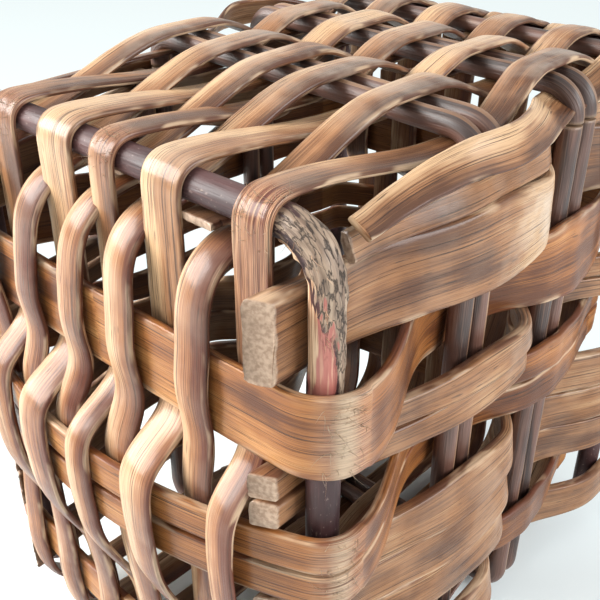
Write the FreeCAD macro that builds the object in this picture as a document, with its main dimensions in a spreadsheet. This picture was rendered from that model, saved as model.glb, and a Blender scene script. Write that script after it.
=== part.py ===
import FreeCAD, Part
import math
import os

# Lidded splint basket: an oblong box of split-wood splints woven round bent rods, closed by a flat woven lid.
# X runs along the hinge rail, the hinge side is at +Y and Z is up. The origin lies under the middle of the base.
# Every length is in millimetres. A drop is measured down from the axis of the two rails.

SIZES = {
    "basket_length": 200.0,         # between the post axes, along X
    "basket_width": 245.0,          # between the rail axes, along Y
    "rail_height": 285.0,           # rail axis above the floor
    "rail_diameter": 12.0,          # round bark-on rod that makes a rail and its two posts
    "rail_bend": 16.0,              # centre-line radius where a rail turns down into a post
    "post_foot": 16.0,              # lower end of a post above the floor
    "clearance": 0.4,               # room between woven pieces at a crossing
    "splint_count": 10,             # splints across the back wall
    "splint_gap": 2.2,              # between one wall splint and the next
    "splint_thickness": 2.8,
    "stake_diameter": 10.0,         # split rods of the end walls, one side planed flat
    "stake_flat": 7.5,              # from the planed flat to the round side
    "stake_inset": 6.0,             # end-wall stakes inside the post axes
    "stake_drop": 8.0,              # top ends of the stakes
    "pair_gap": 4.0,                # between the two rods of a pair
    "hoop_thickness": 4.0,
    "hoop_corner": 10.0,            # centre-line radius of a hoop inside the front posts
    "upper_hoop_bow": 2.0,          # how far the hoop's long sides stand out in the middle
    "middle_hoop_bow": 22.0,
    "lower_hoop_bow": 8.0,
    "course_gap": 1.5,              # between courses stacked on an end wall
    "filler_thickness": 6.5,
    "filler_overhang": 18.0,        # cut ends past the post axes
    "rim_height": 10.0,             # narrow splint over the top filler
    "rim_end": 16.0,                # its ends short of the posts
    "edge_margin": 4.0,             # between the outermost wall splints and the fillers
    "base_margin": 1.2,             # between the lowest course and the bends under it
    "lid_rise": 7.0,                # lid rod axes above the rail axes
    "lid_inset": 1.0,               # lid rods' ends short of the post axes
    "lid_front_rod": 8.0,           # diameter of the rod along the lid's front edge
    "lid_front_inset": 24.0,        # that rod behind the front rail
    "lid_tuck": 9.0,                # how far the lid splints' tails reach behind the upper hoop
    "lid_lip": 16.0,                # drop of the lid splints in front of the front rail
    "hinge_reach": 6.0,             # tucked lid splints past the hinge rail's axis
    "wall_top_drop": 15.0,          # top ends of the wall splints under the hinge rail
}

# Sizes that follow from the ones above. The courses share the wall's height, and the stake pairs stand on
# either side of its middle.
DERIVED = {
    "pair_spacing": "0.29 * basket_width",
    "upper_hoop_drop": "rail_height * 0.175",
    "upper_hoop_height": "rail_height * 0.116",
    "middle_hoop_drop": "rail_height * 0.383",
    "middle_hoop_height": "rail_height * 0.054",
    "lower_hoop_drop": "rail_height * 0.74",
    "lower_hoop_height": "rail_height * 0.077",
    "upper_end": "upper_hoop_drop + upper_hoop_height",
    "middle_end": "middle_hoop_drop + 2 * middle_hoop_height + course_gap",
    "lower_end": "lower_hoop_drop + lower_hoop_height",
    "top_filler_height": "upper_hoop_drop - rail_diameter / 2 - rim_height - 2 * course_gap",
    "second_filler_height": "(middle_hoop_drop - upper_end - 3 * course_gap) / 2",
    "third_filler_height": "(lower_hoop_drop - middle_end - 4 * course_gap) / 3",
    "bottom_filler_height": "lower_hoop_height",
    "stake_height": "splint_thickness + clearance + stake_diameter / 2",
    "base_round": "rail_height - lower_end - 2 * stake_height - splint_thickness / 2 - base_margin",
    "splint_room": "basket_length - rail_diameter - 2 * (clearance + filler_thickness + edge_margin)",
    "stake_bend": "(basket_length - splint_room) / 2 - stake_inset",
    "splint_width": "(splint_room - (splint_count - 1) * splint_gap) / splint_count",
    "splint_span": "splint_room - splint_width",
    "lid_length": "basket_length - 2 * lid_inset",
    "lid_tail": "upper_hoop_drop + lid_tuck",
}

doc = FreeCAD.newDocument("SplintBasket")
sheet = doc.addObject("Spreadsheet::Sheet", "Sizes")


def add_size(row, alias, entry):
    """One row of the sheet: the size's name, and beside it its number or formula."""
    sheet.set("A%d" % row, alias)
    sheet.set("B%d" % row, entry)
    sheet.setAlias("B%d" % row, alias)


for row, (alias, number) in enumerate(SIZES.items(), start=1):
    add_size(row, alias, str(number))
for row, (alias, formula) in enumerate(DERIVED.items(), start=len(SIZES) + 1):
    add_size(row, alias, "=" + formula)
doc.recompute()


def size(alias):
    """A size, read from the sheet."""
    return float(sheet.get(alias))


Vector = FreeCAD.Vector
EASE_STEPS = 4                      # straight lengths in the slant from one crossing to the next
ARC_STEP = 18.0                     # degrees of bend per straight length of a splint

clearance = size("clearance")
rail_radius = size("rail_diameter") / 2
post_x = size("basket_length") / 2
rail_y = size("basket_width") / 2
rail_z = size("rail_height")
splint = size("splint_thickness")
splint_half = size("splint_width") / 2
splint_count = int(size("splint_count"))
splint_pitch = size("splint_span") / (splint_count - 1)
hoop = size("hoop_thickness")
hoop_seat = hoop / 2 + clearance + splint / 2           # hoop middle to a splint's middle
stake_radius = size("stake_diameter") / 2
stake_x = post_x - size("stake_inset")
pair_y = size("pair_spacing") / 2
pair_half = size("stake_flat") + size("pair_gap") / 2
pair_reach = pair_half + splint                         # half the straight length at a pair
rail_seat = rail_radius + clearance + splint / 2        # rail axis to a splint's middle
stake_z = size("stake_height")                          # stake axes under the base
pieces = []


def arc_points(centre, radius, start, end):
    """Points on an arc between two angles in degrees, ends included."""
    steps = max(1, round(abs(end - start) / ARC_STEP))
    angles = [math.radians(start + (end - start) * i / steps) for i in range(steps + 1)]
    return [centre + Vector(math.cos(a), math.sin(a)) * radius for a in angles]


def slant(start, end, across):
    """Points strictly between two crossings: a smooth step in the across axis, even along the other."""
    points = []
    for i in range(1, EASE_STEPS):
        share = i / EASE_STEPS
        smooth = share * share * (3 - 2 * share)
        x_share, y_share = (smooth, share) if across == "x" else (share, smooth)
        points.append(Vector(start.x + (end.x - start.x) * x_share, start.y + (end.y - start.y) * y_share))
    return points


def weave(path, stations, across):
    """Adds straight crossings to a path, each joined to the one before by a slant."""
    for first, last in stations:
        if path:
            path += slant(path[-1], first, across)
        path += [first, last]
    return path


def mitres(points, closed):
    """The offset direction at each point of a line, long enough to keep the offset parallel."""
    count = len(points)
    result = []
    for i, point in enumerate(points):
        before = points[i - 1] if closed or i else None
        after = points[(i + 1) % count] if closed or i < count - 1 else None
        legs = [b - a for a, b in ((before, point), (point, after)) if a is not None and b is not None]
        normals = [Vector(-leg.y, leg.x).normalize() for leg in legs]
        first, last = normals[0], normals[-1]
        result.append((first + last) / (1 + first.dot(last)))
    return result


def ribbon(points, thickness):
    """The closed outline of a strip laid along an open line."""
    sides = mitres(points, False)
    left = [p + n * (thickness / 2) for p, n in zip(points, sides)]
    right = [p - n * (thickness / 2) for p, n in zip(points, sides)]
    return [left + right[::-1]]


def ring(points, thickness):
    """The two closed outlines of a strip laid along a closed line."""
    sides = mitres(points, True)
    return [[p + n * (side * thickness / 2) for p, n in zip(points, sides)] for side in (1, -1)]


def polygon(points):
    """Straight sketch lines round a closed outline."""
    return [Part.LineSegment(a, b) for a, b in zip(points, points[1:] + points[:1])]


def add_piece(kind, label, place):
    """A document object named after its piece, with its place bound to the sheet."""
    piece = doc.addObject(kind, label)
    piece.Label = label
    for axis in "xyz":
        formula = place.get(axis, "0")
        if axis == "y":
            formula += " - Sizes.middle_y"
        piece.setExpression("Placement.Base." + axis, formula)
    pieces.append(piece)
    return piece


def origin_plane(body, role):
    """One of the body's own origin planes."""
    return next(feature for feature in body.Origin.OriginFeatures if feature.Role == role)


def new_sketch(body, name, role, geometry, offset=None):
    """A sketch on one of the body's own origin planes."""
    sketch = body.newObject("Sketcher::SketchObject", body.Name + "_" + name)
    sketch.AttachmentSupport = [(origin_plane(body, role), "")]
    sketch.MapMode = "FlatFace"
    if offset:
        sketch.setExpression("AttachmentOffset.Base.z", offset)
    sketch.addGeometry(geometry, False)
    return sketch


def strip(label, role, outlines, width, place):
    """A splint, hoop or filler: its edge-on outline, padded to the strip's width."""
    body = add_piece("PartDesign::Body", label, place)
    geometry = [line for outline in outlines for line in polygon(outline)]
    pad = body.newObject("PartDesign::Pad", label + "_width")
    pad.Profile = new_sketch(body, "outline", role, geometry)
    pad.setExpression("Length", "Sizes." + width)
    return body


def rod_outline(centre, radius, first, last, steps):
    """Corners on a circle from one angle in degrees to another: a rod is whittled with many small flats."""
    angles = [math.radians(first + (last - first) * i / steps) for i in range(steps + 1)]
    return [centre + Vector(math.cos(a), math.sin(a)) * radius for a in angles]


def round_rod(centre, facing):
    """The section of a rod left in the round."""
    sides = 16
    return polygon(rod_outline(centre, rail_radius, facing, facing + 360 * (sides - 1) / sides, sides - 1))


def planed_rod(centre, facing):
    """The section of a rod split down one side, its round side facing an angle and its flat the other way."""
    half = math.degrees(math.acos((stake_radius - size("stake_flat")) / stake_radius))
    return polygon(rod_outline(centre, stake_radius, facing - half, facing + half, 10))


def bent_rod(label, section, half_span, level, tip, bend, place):
    """A rod bent into a U: a level run, and at each end a round bend into an upright leg that stops at its tip."""
    body = add_piece("PartDesign::Body", label, place)
    inner = half_span - bend
    turn = bend if tip > level else -bend
    run = body.newObject("PartDesign::Pad", label + "_run")
    run.Profile = new_sketch(body, "run_section", "YZ_Plane", section(Vector(0, level), 0))
    run.Length = 2 * inner
    run.Midplane = True
    start = new_sketch(body, "bend_section", "YZ_Plane", section(Vector(0, level), 0), repr(-inner))
    start.addGeometry(Part.LineSegment(Vector(-turn, level + turn), Vector(turn, level + turn)), True)
    corner = body.newObject("PartDesign::Revolution", label + "_bend")
    corner.Profile = start
    corner.ReferenceAxis = (start, ["Axis0"])
    corner.Angle = 90
    leg = body.newObject("PartDesign::Pad", label + "_leg")
    leg.Profile = new_sketch(body, "leg_section", "XY_Plane", section(Vector(-half_span, 0), 90), repr(level + turn))
    leg.Length = abs(tip - level) - bend
    leg.Reversed = tip < level
    other = body.newObject("PartDesign::Mirrored", label + "_other_leg")
    other.Originals = [corner, leg]
    other.MirrorPlane = (origin_plane(body, "YZ_Plane"), [""])
    body.Tip = other
    return body


def hoop_frame(bow):
    """Where a hoop leaves its back and front corners: the slope angle, then x and y for each side. Round a back post
    it leaves room for the lid splints' tails."""
    lean = math.atan(2 * bow / post_x)
    post_gap = rail_radius + clearance + hoop / 2
    back_radius = post_gap + splint + clearance
    back = Vector(post_x + back_radius * math.sin(lean), rail_y + back_radius * math.cos(lean))
    corner = size("hoop_corner")
    inset = post_gap + corner
    centre = Vector(post_x - inset, rail_y - inset)
    front = Vector(centre.x + corner * math.sin(lean), centre.y + corner * math.cos(lean))
    return lean, back_radius, back, centre, front


def hoop_line(corner, bow, x):
    """Distance from the X axis of a hoop's bowed long side: a parabola between its two corners."""
    return corner.y + bow * (1 - (x / corner.x) ** 2)


def hoop_path(bow):
    """A hoop's closed centre line: outside the back posts, woven through the end walls, inside the front."""
    lean, back_radius, back, centre, front = hoop_frame(bow)
    sides = 6
    half = [Vector(-back.x * i / sides, hoop_line(back, bow, back.x * i / sides)) for i in range(sides)]
    half += arc_points(Vector(-post_x, rail_y), back_radius, 90 + math.degrees(lean), 180)
    seat = stake_radius + clearance + hoop / 2
    inside, outside = -(stake_x - seat), -(stake_x + seat)
    weave(half, [
        (Vector(inside, pair_y + pair_reach), Vector(inside, pair_y - pair_reach)),
        (Vector(outside, -pair_y + pair_reach), Vector(outside, -pair_y - pair_reach)),
    ], "x")
    corner = size("hoop_corner")
    turn = arc_points(Vector(-centre.x, -centre.y), corner, 180, 270 - math.degrees(lean))
    half += slant(half[-1], turn[0], "x") + turn
    half += [Vector(-front.x * i / sides, -hoop_line(front, bow, front.x * i / sides))
             for i in range(sides - 1, -1, -1)]
    mirrored = [Vector(-p.x, p.y) for p in half[-2:0:-1]]
    return half + mirrored


def filler_path(side):
    """A filler's centre line on one end wall: inside the back post and outside the front one."""
    thick = size("filler_thickness")
    post_seat = rail_radius + clearance + thick / 2
    stake_seat = stake_radius + clearance + thick / 2
    end = rail_y + size("filler_overhang")
    clear = rail_y - rail_radius - thick
    stations = [
        (post_x - post_seat, end, clear),
        (stake_x + stake_seat, pair_y + pair_reach, pair_y - pair_reach),
        (stake_x - stake_seat, -pair_y + pair_reach, -pair_y - pair_reach),
        (post_x + post_seat, -clear, -end),
    ]
    return weave([], [(Vector(side * x, first), Vector(side * x, last)) for x, first, last in stations], "x")


def rim_path(side):
    """A rim splint's centre line on one end wall: outside the first pair of stakes and inside the second."""
    seat = stake_radius + clearance + hoop / 2
    end = rail_y - size("rim_end")
    stations = [
        (stake_x, end, end - pair_reach),
        (stake_x + seat, pair_y + pair_reach, pair_y - pair_reach),
        (stake_x - seat, -pair_y + pair_reach, -pair_y - pair_reach),
        (stake_x, pair_reach - end, -end),
    ]
    return weave([], [(Vector(side * x, first), Vector(side * x, last)) for x, first, last in stations], "x")


HOOPS = ("upper", "middle", "lower")


def hoop_span(name):
    """The drops at which a course of hoops starts and ends on the long walls."""
    return size(name + "_hoop_drop"), size(name + "_end")


def wall_stations(x, front, inside_first):
    """A wall splint's straight lengths, top hoop first, alternately inside and outside the hoops."""
    stations = []
    for number, name in enumerate(HOOPS):
        bow = size(name + "_hoop_bow")
        corner = hoop_frame(bow)[4 if front else 2]
        inside = (number % 2 == 0) == inside_first
        near = abs(x) + splint_half if inside else max(abs(x) - splint_half, 0)
        reach = hoop_line(corner, bow, near) + (-hoop_seat if inside else hoop_seat)
        top, bottom = hoop_span(name)
        y = -reach if front else reach
        stations.append((Vector(y, rail_z - top + splint), Vector(y, rail_z - bottom - splint)))
    return stations


def wall_splint_path(x, hidden_top):
    """One splint down the back wall, under the base and up the front wall, woven all the way."""
    back = wall_stations(x, False, hidden_top)
    front = wall_stations(x, True, not hidden_top)
    lid_end = rail_z - size("lid_tail") - 2 * splint
    if hidden_top:
        back[0] = (Vector(back[0][0].x, lid_end), back[0][1])
        path = []
    else:
        path = [Vector(rail_y + splint, rail_z - size("wall_top_drop"))]
    weave(path, back, "x")
    under = splint / 2
    over = 2 * stake_z - under
    first, last = (under, over) if hidden_top else (over, under)
    round_radius = size("base_round")
    back_y, front_y = back[-1][0].x, front[-1][0].x
    path += arc_points(Vector(back_y - round_radius, first + round_radius), round_radius, 0, -90)
    weave(path, [
        (Vector(pair_y + pair_reach, first), Vector(pair_y - pair_reach, first)),
        (Vector(-pair_y + pair_reach, last), Vector(-pair_y - pair_reach, last)),
    ], "y")
    path += arc_points(Vector(front_y + round_radius, last + round_radius), round_radius, -90, -180)
    upward = [(low, high) for high, low in front[::-1]]
    weave(path, upward, "x")
    if hidden_top:
        path[-1] = Vector(path[-1].x, rail_z - (size("lid_lip") + size("upper_hoop_drop")) / 2)
    else:
        seat = Vector(-rail_y + rail_seat, rail_z - rail_radius)
        path += slant(path[-1], seat, "x") + [seat]
    return path


def lid_stations(over_back):
    """A lid splint's level lengths at the two pairs and the front rod, back to front."""
    rod_z = rail_z + size("lid_rise")
    pair_seat = stake_radius + clearance + splint / 2
    front_seat = size("lid_front_rod") / 2 + clearance + splint / 2
    front_y = -rail_y + size("lid_front_inset")
    front_reach = size("lid_front_rod") / 2 + splint / 2
    first = -1 if over_back else 1
    rows = [(pair_y, pair_reach, first * pair_seat), (-pair_y, pair_reach, -first * pair_seat),
            (front_y, front_reach, first * front_seat)]
    return [(Vector(y + reach, rod_z + lift), Vector(y - reach, rod_z + lift)) for y, reach, lift in rows]


def lid_splint_path(over_back, hinged):
    """One lid splint, from its hinge end at the back rail to its lip over the front rail."""
    back = Vector(rail_y, rail_z)
    front = Vector(-rail_y, rail_z)
    path = []
    if hinged and over_back:
        path = [Vector(rail_y + rail_seat, rail_z - size("lid_tail"))]
        path += arc_points(back, rail_seat, 0, 90)
    elif hinged:
        path = [Vector(rail_y + size("hinge_reach"), rail_z - rail_seat)]
        path += [Vector(rail_y - size("hinge_reach"), rail_z - rail_seat)]
    else:
        level = lid_stations(over_back)[0][0].y
        path = [Vector(rail_y - rail_radius - rail_seat, level)]
    weave(path, lid_stations(over_back), "y")
    contact = 50 if over_back else 80
    path += arc_points(front, rail_seat, contact, 180)
    path.append(Vector(-rail_y - rail_seat, rail_z - size("lid_lip")))
    return path


# The origin is under the middle of the whole basket, whose back bows out further than its front.
middle_splint = wall_splint_path(splint_pitch / 2, True) + wall_splint_path(splint_pitch / 2, False)
back_reach = max(point.x for point in middle_splint) + splint / 2
front_bow = splint / 2 - min(point.x for point in middle_splint)
front_reach = max(rail_y + size("filler_overhang"), front_bow)
add_size(len(SIZES) + len(DERIVED) + 1, "middle_y", repr((back_reach - front_reach) / 2))
doc.recompute()

# The two bent rails: each is one rod, level along the top edge and turned down into two corner posts.
for label, side in (("back_rail", "Sizes.basket_width / 2"), ("front_rail", "-Sizes.basket_width / 2")):
    bent_rod(label, round_rod, post_x, rail_z, size("post_foot"), size("rail_bend"), {"y": side})

# Four planed stakes in two pairs: up one end wall, under the base and up the other.
stake_step = "(Sizes.stake_flat + Sizes.pair_gap) / 2"
stake_centre = "(Sizes.stake_diameter - Sizes.stake_flat) / 2"
number = 0
for pair_sign in ("", "-"):
    for rod_sign in ("+", "-"):
        number += 1
        place = "%sSizes.pair_spacing / 2 %s %s - %s" % (pair_sign, rod_sign, stake_step, stake_centre)
        bent_rod("base_stake_%d" % number, planed_rod, stake_x, stake_z, rail_z - size("stake_drop"),
                 size("stake_bend"), {"y": place})

# Woven hoops: one wide band, a stacked pair and one narrow band. Each stands on a drop of its own.
HOOP_ENDS = {
    "upper_hoop": ("upper", "upper_end"),
    "middle_hoop_top": ("middle", "middle_hoop_drop - Sizes.middle_hoop_height"),
    "middle_hoop_bottom": ("middle", "middle_end"),
    "lower_hoop": ("lower", "lower_end"),
}
for label, (name, end) in HOOP_ENDS.items():
    outline = ring(hoop_path(size(name + "_hoop_bow")), hoop)
    strip(label, "XY_Plane", outline, name + "_hoop_height", {"z": "Sizes.rail_height - Sizes." + end})

# Fillers between the hoops on each end wall, with cut ends that run past the posts. A group shares its course.
FILLERS = {
    "top_filler": ("top_filler_height", "upper_hoop_drop", 0),
    "second_filler_top": ("second_filler_height", "upper_end", 1),
    "second_filler_bottom": ("second_filler_height", "upper_end", 2),
    "third_filler_top": ("third_filler_height", "middle_end", 1),
    "third_filler_middle": ("third_filler_height", "middle_end", 2),
    "third_filler_bottom": ("third_filler_height", "middle_end", 3),
    "bottom_filler": ("bottom_filler_height", "lower_end", 1),
}
for side_name, side in (("left", -1), ("right", 1)):
    outline = ribbon(filler_path(side), size("filler_thickness"))
    for name, (height, course, place) in FILLERS.items():
        step = "%d * (Sizes.%s + Sizes.course_gap)" % (place, height) if place else "-Sizes.course_gap"
        strip("%s_%s" % (side_name, name), "XY_Plane", outline, height,
              {"z": "Sizes.rail_height - Sizes.%s - (%s)" % (course, step)})
    outline = ribbon(rim_path(side), hoop)
    strip(side_name + "_rim_splint", "XY_Plane", outline, "rim_height",
          {"z": "Sizes.rail_height - Sizes.rail_diameter / 2 - Sizes.rim_height"})

# Wall splints: every other one has its top end hidden behind the upper hoop.
place = "%d * Sizes.splint_span / (Sizes.splint_count - 1) - Sizes.splint_span / 2 - Sizes.splint_width / 2"
for i in range(splint_count):
    x = i * splint_pitch - size("splint_span") / 2
    outline = ribbon(wall_splint_path(x, i % 2 == 0), splint)
    strip("wall_splint_%02d" % (i + 1), "YZ_Plane", outline, "splint_width", {"x": place % i})

# Lid splints: alternately over and under the back rail, which is the hinge, with one more at each edge.
for i in range(-1, splint_count + 1):
    hinged = 0 <= i < splint_count
    outline = ribbon(lid_splint_path(i % 2 == 0, hinged), splint)
    strip("lid_splint_%02d" % (i + 2), "YZ_Plane", outline, "splint_width", {"x": place % i})

# Lid rods: two planed pairs across the lid and one round rod along its front edge.
number = 0
for pair_sign in ("", "-"):
    for rod_sign in ("+", "-"):
        number += 1
        body = add_piece("PartDesign::Body", "lid_rod_%d" % number, {
            "x": "-Sizes.lid_length / 2",
            "y": "%sSizes.pair_spacing / 2 %s %s - %s" % (pair_sign, rod_sign, stake_step, stake_centre),
            "z": "Sizes.rail_height + Sizes.lid_rise",
        })
        pad = body.newObject("PartDesign::Pad", body.Label + "_length")
        pad.Profile = new_sketch(body, "section", "YZ_Plane", planed_rod(Vector(0, 0), 90))
        pad.setExpression("Length", "Sizes.lid_length")

front_rod = add_piece("Part::Cylinder", "lid_front_rod", {
    "x": "-Sizes.lid_length / 2",
    "y": "Sizes.lid_front_inset - Sizes.basket_width / 2",
    "z": "Sizes.rail_height + Sizes.lid_rise",
})
front_rod.setExpression("Radius", "Sizes.lid_front_rod / 2")
front_rod.setExpression("Height", "Sizes.lid_length")
front_rod.Placement.Rotation = FreeCAD.Rotation(Vector(0, 1, 0), 90)

doc.recompute()
faults = [item.Name for item in doc.Objects if "Invalid" in item.State or "Error" in item.State]
faults += [piece.Label for piece in pieces if piece.Shape.isNull() or not piece.Shape.isValid()]
if faults:
    raise RuntimeError("not built: " + ", ".join(faults))

os.makedirs("parts", exist_ok=True)
for piece in pieces:
    piece.Shape.exportStep("parts/%s.step" % piece.Label)
print("pieces:", len(pieces))
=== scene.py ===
import bpy
import numpy as np
from mathutils import Matrix


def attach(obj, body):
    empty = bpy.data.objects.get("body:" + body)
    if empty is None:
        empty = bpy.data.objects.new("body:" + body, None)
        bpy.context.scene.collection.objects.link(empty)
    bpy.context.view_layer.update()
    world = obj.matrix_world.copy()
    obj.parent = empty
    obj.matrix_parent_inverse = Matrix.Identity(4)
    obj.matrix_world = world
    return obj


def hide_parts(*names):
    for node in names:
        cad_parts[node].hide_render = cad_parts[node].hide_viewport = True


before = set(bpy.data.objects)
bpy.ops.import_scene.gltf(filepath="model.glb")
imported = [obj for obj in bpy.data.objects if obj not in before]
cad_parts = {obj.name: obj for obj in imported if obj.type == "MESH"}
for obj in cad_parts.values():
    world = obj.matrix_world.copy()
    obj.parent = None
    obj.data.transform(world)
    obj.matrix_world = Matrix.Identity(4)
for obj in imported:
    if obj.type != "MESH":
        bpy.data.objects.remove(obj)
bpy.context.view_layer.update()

# Rails. Two round rods with the bark still on, each steamed and bent into a hoop: level along a top edge and
# turned down at both ends into the corner posts. The bark has cracked grey at the bends and peeled off the
# post nearest the hinge, where the red inner bark and the pale wood show.
MM = 0.001
UV_UNIT = 100.0  # millimetres of wood to one unit of the grain's UV map
RAIL_Z = 285.0
RAIL_RADIUS = 6.0
RAIL_BEND = 16.0
POST_X = 100.0
POST_FOOT = 16.0
BACK_Y = 112.59
FRONT_Y = -132.41
RAIL_SIDES = 40
SIDEWAYS = np.array([0.0, 1.0, 0.0])
scene = bpy.context.scene


def smooth_step(share):
    """A smooth rise from 0 to 1 as the share goes from 0 to 1: three times its square less twice its cube."""
    return share * share * (3 - 2 * share)


def noise(x, y, seed):
    """Noise from -1 to 1: random heights at whole-number points, blended between them by smooth steps."""
    table = np.random.default_rng(seed).uniform(-1, 1, (64, 64))
    left, low = np.floor(x).astype(int), np.floor(y).astype(int)
    across, up = smooth_step(x - left), smooth_step(y - low)
    heights = [[table[(left + i) % 64, (low + j) % 64] for i in (0, 1)] for j in (0, 1)]
    lower, upper = (first + (second - first) * across for first, second in heights)
    return lower + (upper - lower) * up


def hill(x, middle, reach):
    """A smooth bump that is 1 at its middle and falls to 0 at its reach."""
    return smooth_step(np.clip(1 - np.abs((x - middle) / reach), 0, 1))


def climb(x, start, reach):
    """0 before a start, then straight up to 1 at a reach past it."""
    return np.clip((x - start) / reach, 0, 1)


def lengths_along(path):
    """Distance from the start of a line to each of its points."""
    return np.r_[0, np.cumsum(np.linalg.norm(np.diff(path, axis=0), axis=1))]


def even_steps(points, step, passes, closed=False):
    """A line laid out again in even steps, then softened: in each pass, every point moves halfway to the mean
    of its neighbours."""
    points = np.r_[points, points[:1]] if closed else points
    along = lengths_along(points)
    marks = np.linspace(0, along[-1], max(int(round(along[-1] / step)), 4) + 1)
    line = np.stack([np.interp(marks, along, column) for column in points.T], axis=1)
    line = line[:-1] if closed else line
    for _ in range(passes):
        mean = (np.roll(line, 1, axis=0) + 2 * line + np.roll(line, -1, axis=0)) / 4
        if not closed:
            mean[0], mean[-1] = line[0], line[-1]
        line = mean
    return line


def directions(path, closed=False):
    """The unit direction of a line at each of its points."""
    ahead = np.roll(path, -1, axis=0) - np.roll(path, 1, axis=0) if closed else np.gradient(path, axis=0)
    return ahead / np.linalg.norm(ahead, axis=1, keepdims=True)


def carry(path, across, widths, depths, closed=False):
    """A section carried along a path: each point is the path's, plus a width across it, plus a depth along
    the normal, which is square to the path and the across direction. Returns the grid of points."""
    tangent = directions(path, closed)
    normal = np.cross(tangent, across)
    normal /= np.linalg.norm(normal, axis=1, keepdims=True)
    side = np.cross(normal, tangent)
    return path[:, None] + widths[..., None] * side[:, None] + depths[..., None] * normal[:, None]


def shell(grid, along, around, marks, closed=False):
    """One closed skin over a grid of points: quads between neighbours, and a cap on each open end. The UV map
    holds the distances along and round the wood. Marks are numbers from 0 to 1 at each point."""
    rows, columns = grid.shape[:2]
    ids = np.arange(rows * columns).reshape(rows, columns)
    row = np.arange(rows if closed else rows - 1)[:, None, None] + [0, 1, 1, 0]
    column = np.arange(columns)[:, None] + [0, 0, 1, 1]
    uv = np.stack(np.broadcast_arrays(along[row], around[column]), axis=-1).reshape(-1, 2)
    cap_uv = np.c_[around[:-1], 0 * around[:-1]]
    return {
        "points": grid.reshape(-1, 3),
        "quads": ids[row % rows, column % columns].reshape(-1, 4),
        "caps": [] if closed else [ids[0], ids[-1, ::-1]],
        "uv": (uv if closed else np.r_[uv, cap_uv, cap_uv]) / UV_UNIT,
        "marks": {name: np.broadcast_to(mark, (rows, columns)).ravel() for name, mark in marks.items()},
    }


MARKS = ("edge", "cut", "crack", "wear_and_sheen", "deep", "tone_and_light")


def make_piece(node, form, skins, material, body):
    """One object from one or more skins, named after the node it stands for and the form of its wood. Its
    sides are smooth and its caps are flat. It rides on its body."""
    faces, count = [], 0
    for skin in skins:
        faces += (skin["quads"] + count).tolist() + [(cap + count).tolist() for cap in skin["caps"]]
        count += len(skin["points"])
    mesh = bpy.data.meshes.new(node + form)
    mesh.from_pydata(np.concatenate([skin["points"] for skin in skins]) * MM, [], faces)
    mesh.polygons.foreach_set("use_smooth", [len(face) == 4 for face in faces])
    uv = np.concatenate([skin["uv"] for skin in skins])
    mesh.uv_layers.new(name="grain").data.foreach_set("uv", uv.astype(np.float32).ravel())
    for mark in MARKS:
        numbers = np.concatenate([skin["marks"].get(mark, np.zeros(len(skin["points"]))) for skin in skins])
        mesh.attributes.new(mark, "FLOAT", "POINT").data.foreach_set("value", numbers.astype(np.float32))
    mesh.validate()
    piece = bpy.data.objects.new(node + form, mesh)
    scene.collection.objects.link(piece)
    mesh.materials.append(material)
    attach(piece, body)
    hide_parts(node)


class Nodes:
    """A node tree under construction: nodes are added by kind, with their inputs given by name or number."""

    def __init__(self, tree):
        self.tree = tree

    def put(self, socket, value):
        """A link where the value is another node's output, or else a constant."""
        if isinstance(value, bpy.types.NodeSocket):
            self.tree.links.new(value, socket)
        else:
            socket.default_value = value

    def node(self, kind, inputs=(), **settings):
        """A new node of a kind, with its settings and its inputs."""
        made = self.tree.nodes.new("ShaderNode" + kind)
        for name, value in settings.items():
            setattr(made, name, value)
        for key, value in dict(inputs).items():
            self.put(made.inputs[key], value)
        return made

    def math(self, operation, *values):
        """One sum or product of numbers."""
        return self.node("Math", enumerate(values), operation=operation).outputs[0]


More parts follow.
